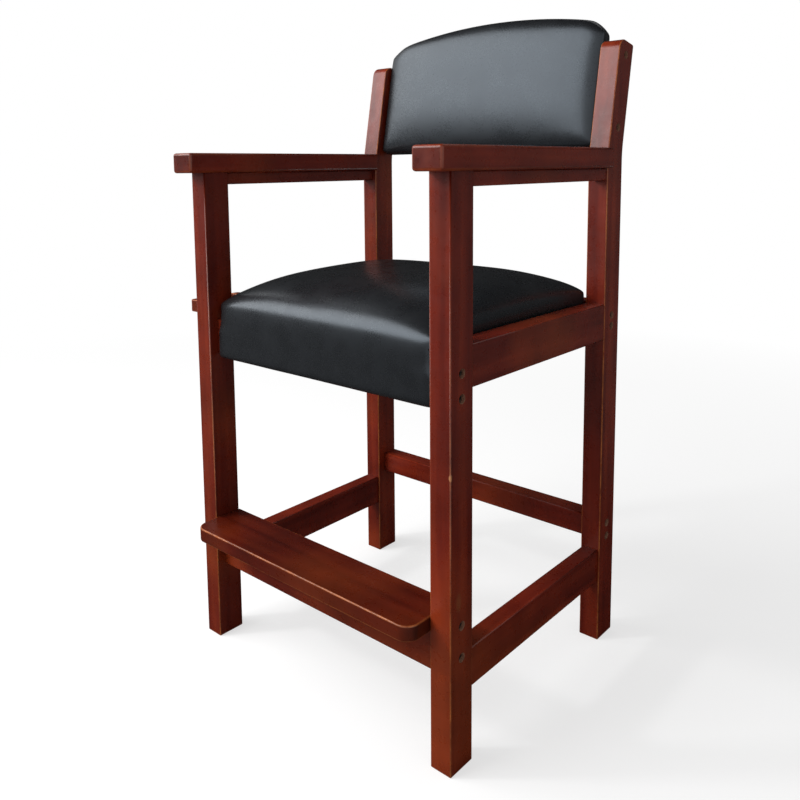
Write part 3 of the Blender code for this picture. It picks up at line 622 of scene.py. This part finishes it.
def rearLegShape(x0, x1):
    r = rearLeg
    sine, cosine, slope = math.sin(r["rake"]), math.cos(r["rake"]), math.tan(r["rake"])
    front, back = postFront, postFront + r["depth"]
    frontBend = (front, r["bend"])
    backBend = (back, r["bend"] + (r["depth"] - r["postDepth"] / cosine) / slope)
    topFront = (front + r["post"] * sine, r["bend"] + r["post"] * cosine)
    topBack = (topFront[0] + r["postDepth"] * cosine, topFront[1] - r["postDepth"] * sine)
    outline = ((front, 0), (back, 0), backBend, topBack, topFront, frontBend)
    shape = bmesh.new()
    face = shape.faces.new([shape.verts.new((x0, y, z)) for y, z in outline])
    grown = bmesh.ops.extrude_face_region(shape, geom=[face])
    bmesh.ops.translate(shape, vec=(x1 - x0, 0, 0),
                        verts=[v for v in grown["geom"] if isinstance(v, bmesh.types.BMVert)])
    bmesh.ops.recalc_face_normals(shape, faces=shape.faces)
    bendReach = r["bendRadius"] * math.tan(r["rake"] / 2)
    for place, reach, steps in (
            (backBend, bendReach, r["bendSteps"]), (frontBend, bendReach, r["bendSteps"]),
            (topFront, r["topFront"], r["topSteps"]), (topBack, r["topBack"], r["topBackSteps"])):
        across = [e for e in shape.edges
                  if all((Vector((v.co.y, v.co.z)) - Vector(place)).length < tiny for v in e.verts)]
        bevelEdges(shape, across, reach, steps, "ABSOLUTE")
    rim = [e for e in shape.edges if any(abs(f.normal.x) > 0.99 for f in e.link_faces)]
    rim += [e for e in shape.edges if all(abs(v.co.z) < tiny for v in e.verts) and e not in rim]
    softenEdges(shape, rim, wood["edge"], wood["steps"], wood["worn"])
    return shape


armrest = {"edge": 0.005, "worn": 0.2}
glueLine = 0.00002  # leg and arm rail are glued up to the arm, so no light shows between them


def makeSideFrames():
    fit = bolt["fit"]
    for sideName, side in sides:
        front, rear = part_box(f"front_leg_{sideName}"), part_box(f"rear_leg_{sideName}")
        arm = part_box(f"armrest_{sideName}")
        underArm = arm[0].z - glueLine
        name = f"frontLeg_{sideName}"
        leg = woodBar(name, front[0], (front[1].x, front[1].y, underArm), "z", (True, False))
        cutHoles(leg, holeMesh(boltNames["front_leg"], sideName, side))
        finishPiece(leg, f"front_leg_{sideName}")
        name = f"rearLeg_{sideName}"
        leg = meshObject(name, rearLegShape(rear[0].x, rear[1].x), woodMaterialFor(name, "z"))
        cutHoles(leg, holeMesh(boltNames["rear_leg"], sideName, side))
        finishPiece(leg, f"rear_leg_{sideName}")
        piece = woodBar(f"arm_{sideName}", arm[0], (arm[1].x, rear[0].y - fit, arm[1].z), "y",
                        (True, False), armrest["edge"], armrest["worn"])
        finishPiece(piece, f"armrest_{sideName}")
        for label, node in (("armRail", "arm_rail"), ("seatRail", "seat_apron"),
                            ("sideRail", "side_stretcher")):
            low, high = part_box(f"{node}_{sideName}")
            top = underArm if label == "armRail" else high.z
            piece = woodBar(f"{label}_{sideName}", (low.x, front[1].y + fit, low.z),
                            (high.x, rear[0].y - fit, top), "y", (False, False))
            finishPiece(piece, f"{node}_{sideName}")


def makeCrossRails():
    for label, node in (("frontApron", "front_apron"), ("rearApron", "rear_apron"),
                        ("frontRail", "front_stretcher"), ("rearRail", "rear_stretcher")):
        low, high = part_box(node)
        finishPiece(woodBar(label, low, high, "x", (False, False)), node)


# its worn share is high partly for rubbed wear and partly as a painted highlight along its top front edge
footboard = {"corner": 0.024, "cornerSteps": 14, "edge": 0.0026, "worn": 0.9}


def makeFootboard():
    f = footboard
    low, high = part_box("footrest")
    shape = cubeShape(low, high)
    bevelEdges(shape, frontCorners(shape, low.y), f["corner"], f["cornerSteps"])
    softenEdges(shape, levelRims(shape), f["edge"], wood["steps"], f["worn"])
    piece = meshObject("footboard", shape, woodMaterialFor("footboard", "x"))
    finishPiece(piece, "footrest")


cueShelf = {
    "notchWidth": 0.026, "notchDepth": 0.045, "pitch": 0.056, "lip": 0.004, "corner": 0.009,
    "steps": 24, "cornerSteps": 6, "knife": 0.08, "edge": 0.0018, "edgeSteps": 3, "worn": 0.9,
    "sharp": 0.5,         # an edge that turns by more than this is an arris
    "smallFace": 0.0003,  # only the faces of the rounds are smaller
}


def makeCueShelf():
    c = cueShelf
    low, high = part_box("cue_rest")
    middleY, middleZ = (low.y + high.y) / 2, (low.z + high.z) / 2
    knives = bmesh.new()
    for offset in (-c["pitch"] / 2, c["pitch"] / 2):
        rod = addRod(knives, c["notchWidth"] / 2, c["knife"], c["steps"])
        outer = [v for v in rod if v.co.x < -tiny]
        bmesh.ops.translate(knives, vec=(-c["notchDepth"], 0, 0), verts=outer)
        inward = c["notchDepth"] - c["notchWidth"] / 2
        bmesh.ops.translate(knives, vec=(low.x + inward, middleY + offset, middleZ), verts=rod)
    piece = meshObject("cueShelf", cubeShape(low, high), woodMaterialFor("cueShelf", "y"))
    cutHoles(piece, meshFrom("notches", knives))
    shape = bmesh.new()
    shape.from_mesh(piece.data)
    bmesh.ops.dissolve_limit(shape, angle_limit=0.01, verts=shape.verts, edges=shape.edges)
    uprights = [e for e in shape.edges if rise(e) > tiny and abs(e.verts[0].co.x - low.x) < tiny
                and e.calc_face_angle(0) > c["sharp"]]
    ends = [e for e in uprights if min(abs(e.verts[0].co.y - low.y), abs(e.verts[0].co.y - high.y)) < tiny]
    lips = [e for e in uprights if e not in ends]
    bevelEdges(shape, ends, c["corner"], c["cornerSteps"])
    bevelEdges(shape, lips, c["lip"], c["cornerSteps"])
    for face in shape.faces:
        face.smooth = abs(face.normal.z) < 0.5 and face.calc_area() < c["smallFace"]
    softenEdges(shape, levelRims(shape), c["edge"], c["edgeSteps"], c["worn"])
    shape.to_mesh(piece.data)
    shape.free()
    finishPiece(piece, "cue_rest")


makeBolts()
makeSideFrames()
makeCrossRails()
makeFootboard()
makeCueShelf()
print("wood and bolts made")

# small CAD pieces whose shape is right keep it and take a finish
corners = [f"{end}_{sideName}" for end in ("front", "rear") for sideName, _ in sides]
blocks = [f"corner_block_{corner}" for corner in corners]
screws = [f"seat_screw_{corner}" for corner in corners] + ["cue_rest_screw_1", "cue_rest_screw_2"]
for names, mat in ((blocks, pine), (screws, screwSteel)):
    for node in names:
        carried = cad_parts[node]
        carried.data.materials.clear()
        carried.data.materials.append(mat)


# upholstery
stuffing = {
    "quality": 5, "pressure": 4.0, "frames": 20,
    "evened": 12,  # smoothing passes over the swell, so that the gloss runs evenly
}


def blockShape(shapePoint, cells):
    # a closed block of even cells, each point placed by shapePoint from its shares of 0 to 1
    shape = bmesh.new()
    bmesh.ops.create_cube(shape, size=1)
    for axis, count in enumerate(cells):
        along = [e for e in shape.edges if abs(e.verts[0].co[axis] - e.verts[1].co[axis]) > 0.5]
        bmesh.ops.subdivide_edges(shape, edges=along, cuts=count - 1, use_grid_fill=True)
    half = Vector((1, 1, 1)) / 2
    for vert in shape.verts:
        vert.co = shapePoint(*(vert.co + half))
    bmesh.ops.recalc_face_normals(shape, faces=shape.faces)
    return shape


def smoothPoints(shape, verts, passes, across=True):
    for _ in range(passes):
        bmesh.ops.smooth_vert(shape, verts=verts, factor=0.5, use_axis_x=across, use_axis_y=True,
                              use_axis_z=True)


def swell(piece):
    # where the piece's points go when its cloth is blown up
    frames = stuffing["frames"]
    cloth = piece.modifiers.new("filling", "CLOTH")
    cloth.settings.quality = stuffing["quality"]
    cloth.settings.use_pressure = True
    cloth.settings.uniform_pressure_force = stuffing["pressure"]
    cloth.settings.effector_weights.gravity = 0
    cloth.point_cache.frame_start = 1
    cloth.point_cache.frame_end = frames
    for number in range(1, frames + 1):
        scene.frame_set(number)
    graph = bpy.context.evaluated_depsgraph_get()
    swollen = [v.co.copy() for v in piece.evaluated_get(graph).data.vertices]
    piece.modifiers.clear()
    scene.frame_set(1)
    return swollen


def stuff(piece, rounds, reach, rolled=None):
    # rounds the block off, then lets it swell by no more than reach allows at each point
    shape = bmesh.new()
    shape.from_mesh(piece.data)
    smoothPoints(shape, shape.verts, rounds)
    if rolled:
        wanted, passes = rolled
        smoothPoints(shape, [v for v in shape.verts if wanted(v.co)], passes, across=False)
    shape.to_mesh(piece.data)
    shape.free()
    start = [v.co.copy() for v in piece.data.vertices]
    normals = [v.normal.copy() for v in piece.data.vertices]
    swollen = swell(piece)
    moves = bmesh.new()  # holds the moves as points, so that they can be smoothed
    moves.from_mesh(piece.data)
    for vert, before, after, normal in zip(moves.verts, start, swollen, normals):
        most = reach(before)
        out = (after - before).dot(normal)
        slide = (after - before) - normal * out
        if slide.length > most / 2:
            slide = slide.normalized() * most / 2
        vert.co = slide + normal * min(max(out, 0), most)
    smoothPoints(moves, moves.verts, stuffing["evened"])
    for vert, move in zip(piece.data.vertices, moves.verts):
        vert.co += move.co
    moves.free()
    finer = piece.modifiers.new("finer", "SUBSURF")
    finer.levels = 1
    finer.render_levels = 1
    bake(piece)
    for polygon in piece.data.polygons:
        polygon.use_smooth = True


seat = {
    "gap": 0.0008, "front": 0.010, "back": 0.4930, "edge": 0.6898, "crown": 0.038, "drop": 0.018,
    "dropShare": 0.26, "skirt": 0.556, "sidePower": 4.75, "depthPower": 4.0, "waist": 0.002,
    "slack": 0.0022, "cells": (65, 61, 17), "rounds": 4, "skirtBack": 0.0187, "deck": 0.6481,
    "ripple": 0.0002, "rippleScale": 17, "rollFrom": 0.612, "rollPasses": 30, "overrun": 0.05,
}


def makeSeat():
    s = seat
    half = innerHalf - s["gap"] - s["slack"]
    front, back = s["front"] + s["slack"], s["back"] - s["slack"]
    base = s["skirt"] + s["slack"]

    def shapePoint(across, along, up):
        side, depth = 2 * across - 1, 2 * along - 1
        crown = (1 - abs(side) ** s["sidePower"]) * (1 - abs(depth) ** s["depthPower"])
        top = s["edge"] - s["slack"] - s["drop"] * math.exp(-along / s["dropShare"]) + s["crown"] * crown
        waist = s["waist"] * math.sin(math.pi * up)
        return at((half - waist) * side, front + (back - front) * along, base + (top - base) * up)

    def reach(point):
        return s["slack"] + s["ripple"] * noise.noise(point * s["rippleScale"])

    pad = meshObject("seatPad", blockShape(shapePoint, s["cells"]), leather)
    stuff(pad, s["rounds"], reach, (lambda point: point.z > s["rollFrom"], s["rollPasses"]))
    # the underside is cut flat behind the skirt, where the pad lies on its board and the apron
    wide = innerHalf + s["overrun"]
    low = at(-wide, s["skirtBack"], s["skirt"] - s["overrun"])
    high = at(wide, s["back"] + s["overrun"], s["deck"])
    cutHoles(pad, meshFrom("underside", cubeShape(low, high)))
    finishPiece(pad, "seat_cushion")


# drawn a little smaller than its solid, so that it stays behind the rounded leather
seatBoard = {
    "frontInset": 0.004, "sideInset": 0.003, "corner": 0.024, "cornerSteps": 8,
    "hole": 0.0023, "holeSteps": 16, "holeBelow": 0.01, "holeAbove": 0.0005,
}


def makeSeatBoard():
    s = seatBoard
    low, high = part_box("seat_board")
    low, high = low + Vector((s["sideInset"], s["frontInset"], 0)), high - Vector((s["sideInset"], 0, 0))
    shape = cubeShape(low, high)
    bevelEdges(shape, frontCorners(shape, low.y), s["corner"], s["cornerSteps"], smooth=False)
    board = meshObject("seatBoard", shape, plywood)
    knives = bmesh.new()
    for corner in corners:
        foot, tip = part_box(f"seat_screw_{corner}")
        bottom, top = low.z - s["holeBelow"], tip.z + s["holeAbove"]
        rod = addRod(knives, s["hole"], top - bottom, s["holeSteps"])
        middle = ((foot.x + tip.x) / 2, (foot.y + tip.y) / 2, (bottom + top) / 2)
        bmesh.ops.translate(knives, verts=rod, vec=middle)
    cutHoles(board, meshFrom("pilotHoles", knives))
    finishPiece(board, "seat_board")


backrest = {
    "bottom": 0.020, "top": 0.2925, "arch": 0.030, "cornerDrop": 0.022, "cornerStart": 0.86,
    "gap": 0.0008, "front": 0.010, "crown": 0.011, "rear": 0.043, "power": 4, "lowPower": 2.6,
    "slack": 0.0016, "cells": (81, 42, 6), "rounds": 2, "rollDepth": 0.024, "rollPasses": 18,
    # the board and the pocket that holds it
    "wrap": 0.0085, "pocket": 0.0242, "board": 0.0238, "fit": 0.0003, "boardCells": (26, 4, 1),
    "overrun": 0.02,
}
backPanel = {
    "inset": 0.005, "gap": 0.0005, "thick": 0.007, "crown": 0.002, "power": 6, "slack": 0.001,
    "cells": (81, 42, 3), "rounds": 2,
}


def raked(across, up, back):
    sine, cosine = math.sin(rearLeg["rake"]), math.cos(rearLeg["rake"])
    return Vector((middleX + across, postFront + up * sine + back * cosine,
                   rearLeg["bend"] + up * cosine - back * sine))


def rakedDepth(point):
    sine, cosine = math.sin(rearLeg["rake"]), math.cos(rearLeg["rake"])
    return (point.y - postFront) * cosine - (point.z - rearLeg["bend"]) * sine


def backArch(side):
    # the top line, an arc that drops away at its two corners
    b = backrest
    half = innerHalf - b["gap"]
    radius = (half ** 2 + b["arch"] ** 2) / (2 * b["arch"])
    top = b["top"] - radius + math.sqrt(radius ** 2 - (half * side) ** 2)
    past = max(0, (abs(side) - b["cornerStart"]) / (1 - b["cornerStart"]))
    return top - b["cornerDrop"] * past ** 2


def insideBack(wrap, rear, thick):
    # a block inside the pad, wrap away from its outline
    b = backrest

    def place(across, up, forward):
        side = 2 * across - 1
        low, top = b["bottom"] + wrap, backArch(side) - wrap
        return raked((innerHalf - b["gap"] - wrap) * side, low + (top - low) * up, rear - thick * forward)

    return blockShape(place, b["boardCells"])


def makeBackPad():
    b = backrest
    half = innerHalf - b["gap"] - b["slack"]
    bottom = b["bottom"] + b["slack"]

    def padPoint(across, up, forward):
        side, high = 2 * across - 1, 2 * up - 1
        power = b["power"] if high > 0 else b["lowPower"]
        crown = (1 - abs(side) ** b["power"]) * (1 - abs(high) ** power)
        face = b["front"] + b["slack"] - b["crown"] * crown
        depth = b["rear"] + (face - b["rear"]) * forward
        return raked(half * side, bottom + (backArch(side) - b["slack"] - bottom) * up, depth)

    pad = meshObject("backPad", blockShape(padPoint, b["cells"]), leather)
    stuff(pad, b["rounds"], lambda point: b["slack"],
          (lambda point: rakedDepth(point) < b["rollDepth"], b["rollPasses"]))
    pocket = insideBack(b["wrap"] - b["fit"], b["rear"] + b["overrun"], b["pocket"] + b["overrun"])
    cutHoles(pad, meshFrom("pocket", pocket))
    finishPiece(pad, "back_cushion")


def makeBackBoard():
    b = backrest
    board = meshObject("backBoard", insideBack(b["wrap"], b["rear"], b["board"]), plywood)
    for sideName, side in sides:
        cutHoles(board, holeMesh(("back_upper", "back_lower"), sideName, side))
    finishPiece(board, "back_board")


def makeBackPanel():
    b, p = backrest, backPanel
    half = innerHalf - b["gap"] - b["slack"] - p["inset"]

    def panelPoint(across, up, behind):
        side, high = 2 * across - 1, 2 * up - 1
        crown = (1 - abs(side) ** p["power"]) * (1 - abs(high) ** p["power"])
        low, top = b["bottom"] + p["inset"], backArch(side) - p["inset"]
        thick = p["thick"] + p["crown"] * crown
        return raked(half * side, low + (top - low) * up, b["rear"] + p["gap"] + thick * behind)

    panel = meshObject("backPanel", blockShape(panelPoint, p["cells"]), leather)
    stuff(panel, p["rounds"], lambda point: p["slack"])
    finishPiece(panel, "back_panel")


dust = {
    "thick": 0.0006, "chamfer": 0.060, "cells": 40, "sag": 0.004, "sagPower": 0.7,
    "ripple": 0.0006, "rippleScale": 23,
}


def makeDustSheet():
    d = dust
    low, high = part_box("dust_cover")
    middle = (low + high) / 2
    width, length = high.x - low.x, high.y - low.y
    shape = bmesh.new()
    bmesh.ops.create_grid(shape, x_segments=d["cells"], y_segments=d["cells"], size=0.5)
    bmesh.ops.scale(shape, vec=(width, length, 1), verts=shape.verts)
    bmesh.ops.translate(shape, vec=(middle.x, middle.y, high.z - d["thick"]), verts=shape.verts)
    for x, turnX in ((low.x, -1), (high.x, 1)):
        for y, turnY in ((low.y, -1), (high.y, 1)):
            bmesh.ops.bisect_plane(shape, geom=shape.verts[:] + shape.edges[:] + shape.faces[:],
                                   dist=tiny, plane_co=(x - turnX * d["chamfer"], y, 0),
                                   plane_no=(turnX, turnY, 0), clear_outer=True)
    for vert in shape.verts:
        u = (vert.co.x - middle.x) / (high.x - middle.x)
        v = (vert.co.y - middle.y) / (high.y - middle.y)
        hang = max(0.0, (1 - u * u) * (1 - v * v)) ** d["sagPower"]
        ripple = d["ripple"] * noise.noise(vert.co * d["rippleScale"])
        vert.co.z -= (d["sag"] + ripple) * hang
    for face in shape.faces:
        face.smooth = True
    sheet = meshObject("dustSheet", shape, dustCloth)
    wall = sheet.modifiers.new("thickness", "SOLIDIFY")
    wall.thickness = d["thick"]
    wall.offset = -1
    bake(sheet)
    finishPiece(sheet, "dust_cover")


makeSeat()
makeSeatBoard()
print("seat stuffed")
makeBackPad()
makeBackBoard()
makeBackPanel()
print("back stuffed")
makeDustSheet()
print("dust sheet made")


# room
room = {
    "floorColour": (0.42, 0.42, 0.42), "floorLift": 0.62, "floorSize": 14, "floorFade": (1.0, 3.2),
    "ambient": 0.42,
    # name: place, aim, size, radiance, seen in reflections
    "lamps": {
        "softbox": ((-1.78, -2.12, 2.45), (0.0, 0.1, 0.85), (3.2, 2.8), 4.4, True),
        "spark": ((-1.78, -2.12, 2.35), (0.0, 0.1, 0.85), (0.3, 0.3), 100.0, False),
    },
    # dark flags that only reflections show: place, aim, size, grey
    "flags": {
        "flagLeft": ((-1.6, 1.8, 1.72), (0.0, 0.0, 1.72), (3.4, 3.4), 0.018),
        "flagRight": ((1.9, 1.7, 1.72), (0.1, 0.0, 1.72), (3.2, 3.4), 0.12),
        "flagBack": ((0.2, 3.1, 2.2), (0.2, 0.0, 2.2), (2.2, 3.2), 0.03),
        "flagRightLow": ((1.15, 0.85, 0.42), (0.45, 0.15, 1.12), (3.0, 1.1), 0.08),
        "flagTop": ((0.0, 0.2, 3.75), (0.0, 0.2, 0.0), (5.4, 4.4), 0.004),
        "flagLow": ((-1.27, -1.56, 0.89), (-0.55, -0.68, 1.93), (3.0, 2.4), 0.16),
        "flagFloor": ((0.0, 0.0, 0.0015), (0.0, 0.0, 1.0), (7.0, 7.0), 0.02),
    },
}


def aimed(place, aim):
    turn = (Vector(aim) - Vector(place)).to_track_quat("-Z", "Y").to_matrix().to_4x4()
    return Matrix.Translation(place) @ turn


def makeLamp(name, place, aim, size, radiance, shines):
    lamp = bpy.data.lights.new(name, "AREA")
    lamp.shape = "RECTANGLE"
    lamp.size, lamp.size_y = size
    lamp.energy = radiance * math.pi * size[0] * size[1]
    holder = bpy.data.objects.new(name, lamp)
    scene.collection.objects.link(holder)
    holder.matrix_world = aimed(place, aim)
    holder.visible_camera = False
    holder.visible_glossy = shines


def makeFlag(name, place, aim, size, grey):
    shape = bmesh.new()
    bmesh.ops.create_grid(shape, x_segments=1, y_segments=1, size=0.5)
    bmesh.ops.scale(shape, vec=(*size, 1), verts=shape.verts)
    shape.transform(aimed(place, aim))
    mat, _, _, shader = newFinish(name)
    shader.inputs["Base Color"].default_value = (grey, grey, grey, 1)
    shader.inputs["Roughness"].default_value = 1.0
    flag = meshObject(name, shape, mat)
    for ray in ("camera", "diffuse", "transmission", "shadow", "volume_scatter"):
        setattr(flag, f"visible_{ray}", False)


def seenRays(nodes, links):
    path = nodes.new("ShaderNodeLightPath").outputs
    return addMath(nodes, links, "MAXIMUM", path["Is Camera Ray"],
                   addMath(nodes, links, "MAXIMUM", path["Is Glossy Ray"], path["Is Transmission Ray"]))


def makeWorld():
    world = bpy.data.worlds.new("studio")
    world.use_nodes = True
    scene.world = world
    nodes, links = world.node_tree.nodes, world.node_tree.links
    background = nodes["Background"]
    background.inputs["Color"].default_value = (1, 1, 1, 1)
    strength = addRange(nodes, links, seenRays(nodes, links), 0, 1, room["ambient"], 1.0)
    links.new(strength, background.inputs["Strength"])


def makeFloor():
    # pale near the chair, where it takes the shadow, and fading to plain white further out
    r = room
    shape = bmesh.new()
    bmesh.ops.create_circle(shape, cap_ends=True, segments=96, radius=r["floorSize"] / 2)
    mat, nodes, links, shader = newFinish("floor")
    nodes.remove(shader)
    diffuse = nodes.new("ShaderNodeBsdfDiffuse")
    diffuse.inputs["Color"].default_value = (*r["floorColour"], 1)
    seen = seenRays(nodes, links)
    lift = nodes.new("ShaderNodeEmission")
    links.new(addMath(nodes, links, "MULTIPLY", seen, r["floorLift"]), lift.inputs["Strength"])
    near = nodes.new("ShaderNodeAddShader")
    links.new(diffuse.outputs["BSDF"], near.inputs[0])
    links.new(lift.outputs["Emission"], near.inputs[1])
    white = nodes.new("ShaderNodeEmission")
    links.new(addRange(nodes, links, seen, 0, 1, r["ambient"], 1.0), white.inputs["Strength"])
    away = addLength(nodes, links, addCoords(nodes))
    fade = nodes.new("ShaderNodeMixShader")
    links.new(addRange(nodes, links, away, *r["floorFade"]), fade.inputs["Fac"])
    links.new(near.outputs["Shader"], fade.inputs[1])
    links.new(white.outputs["Emission"], fade.inputs[2])
    links.new(fade.outputs["Shader"], nodes["Material Output"].inputs["Surface"])
    meshObject("floor", shape, mat)


def makeRoom():
    for name, facts in room["lamps"].items():
        makeLamp(name, *facts)
    for name, facts in room["flags"].items():
        makeFlag(name, *facts)
    makeWorld()
    makeFloor()
    scene.view_settings.view_transform = "Standard"


makeRoom()
print("room lit")
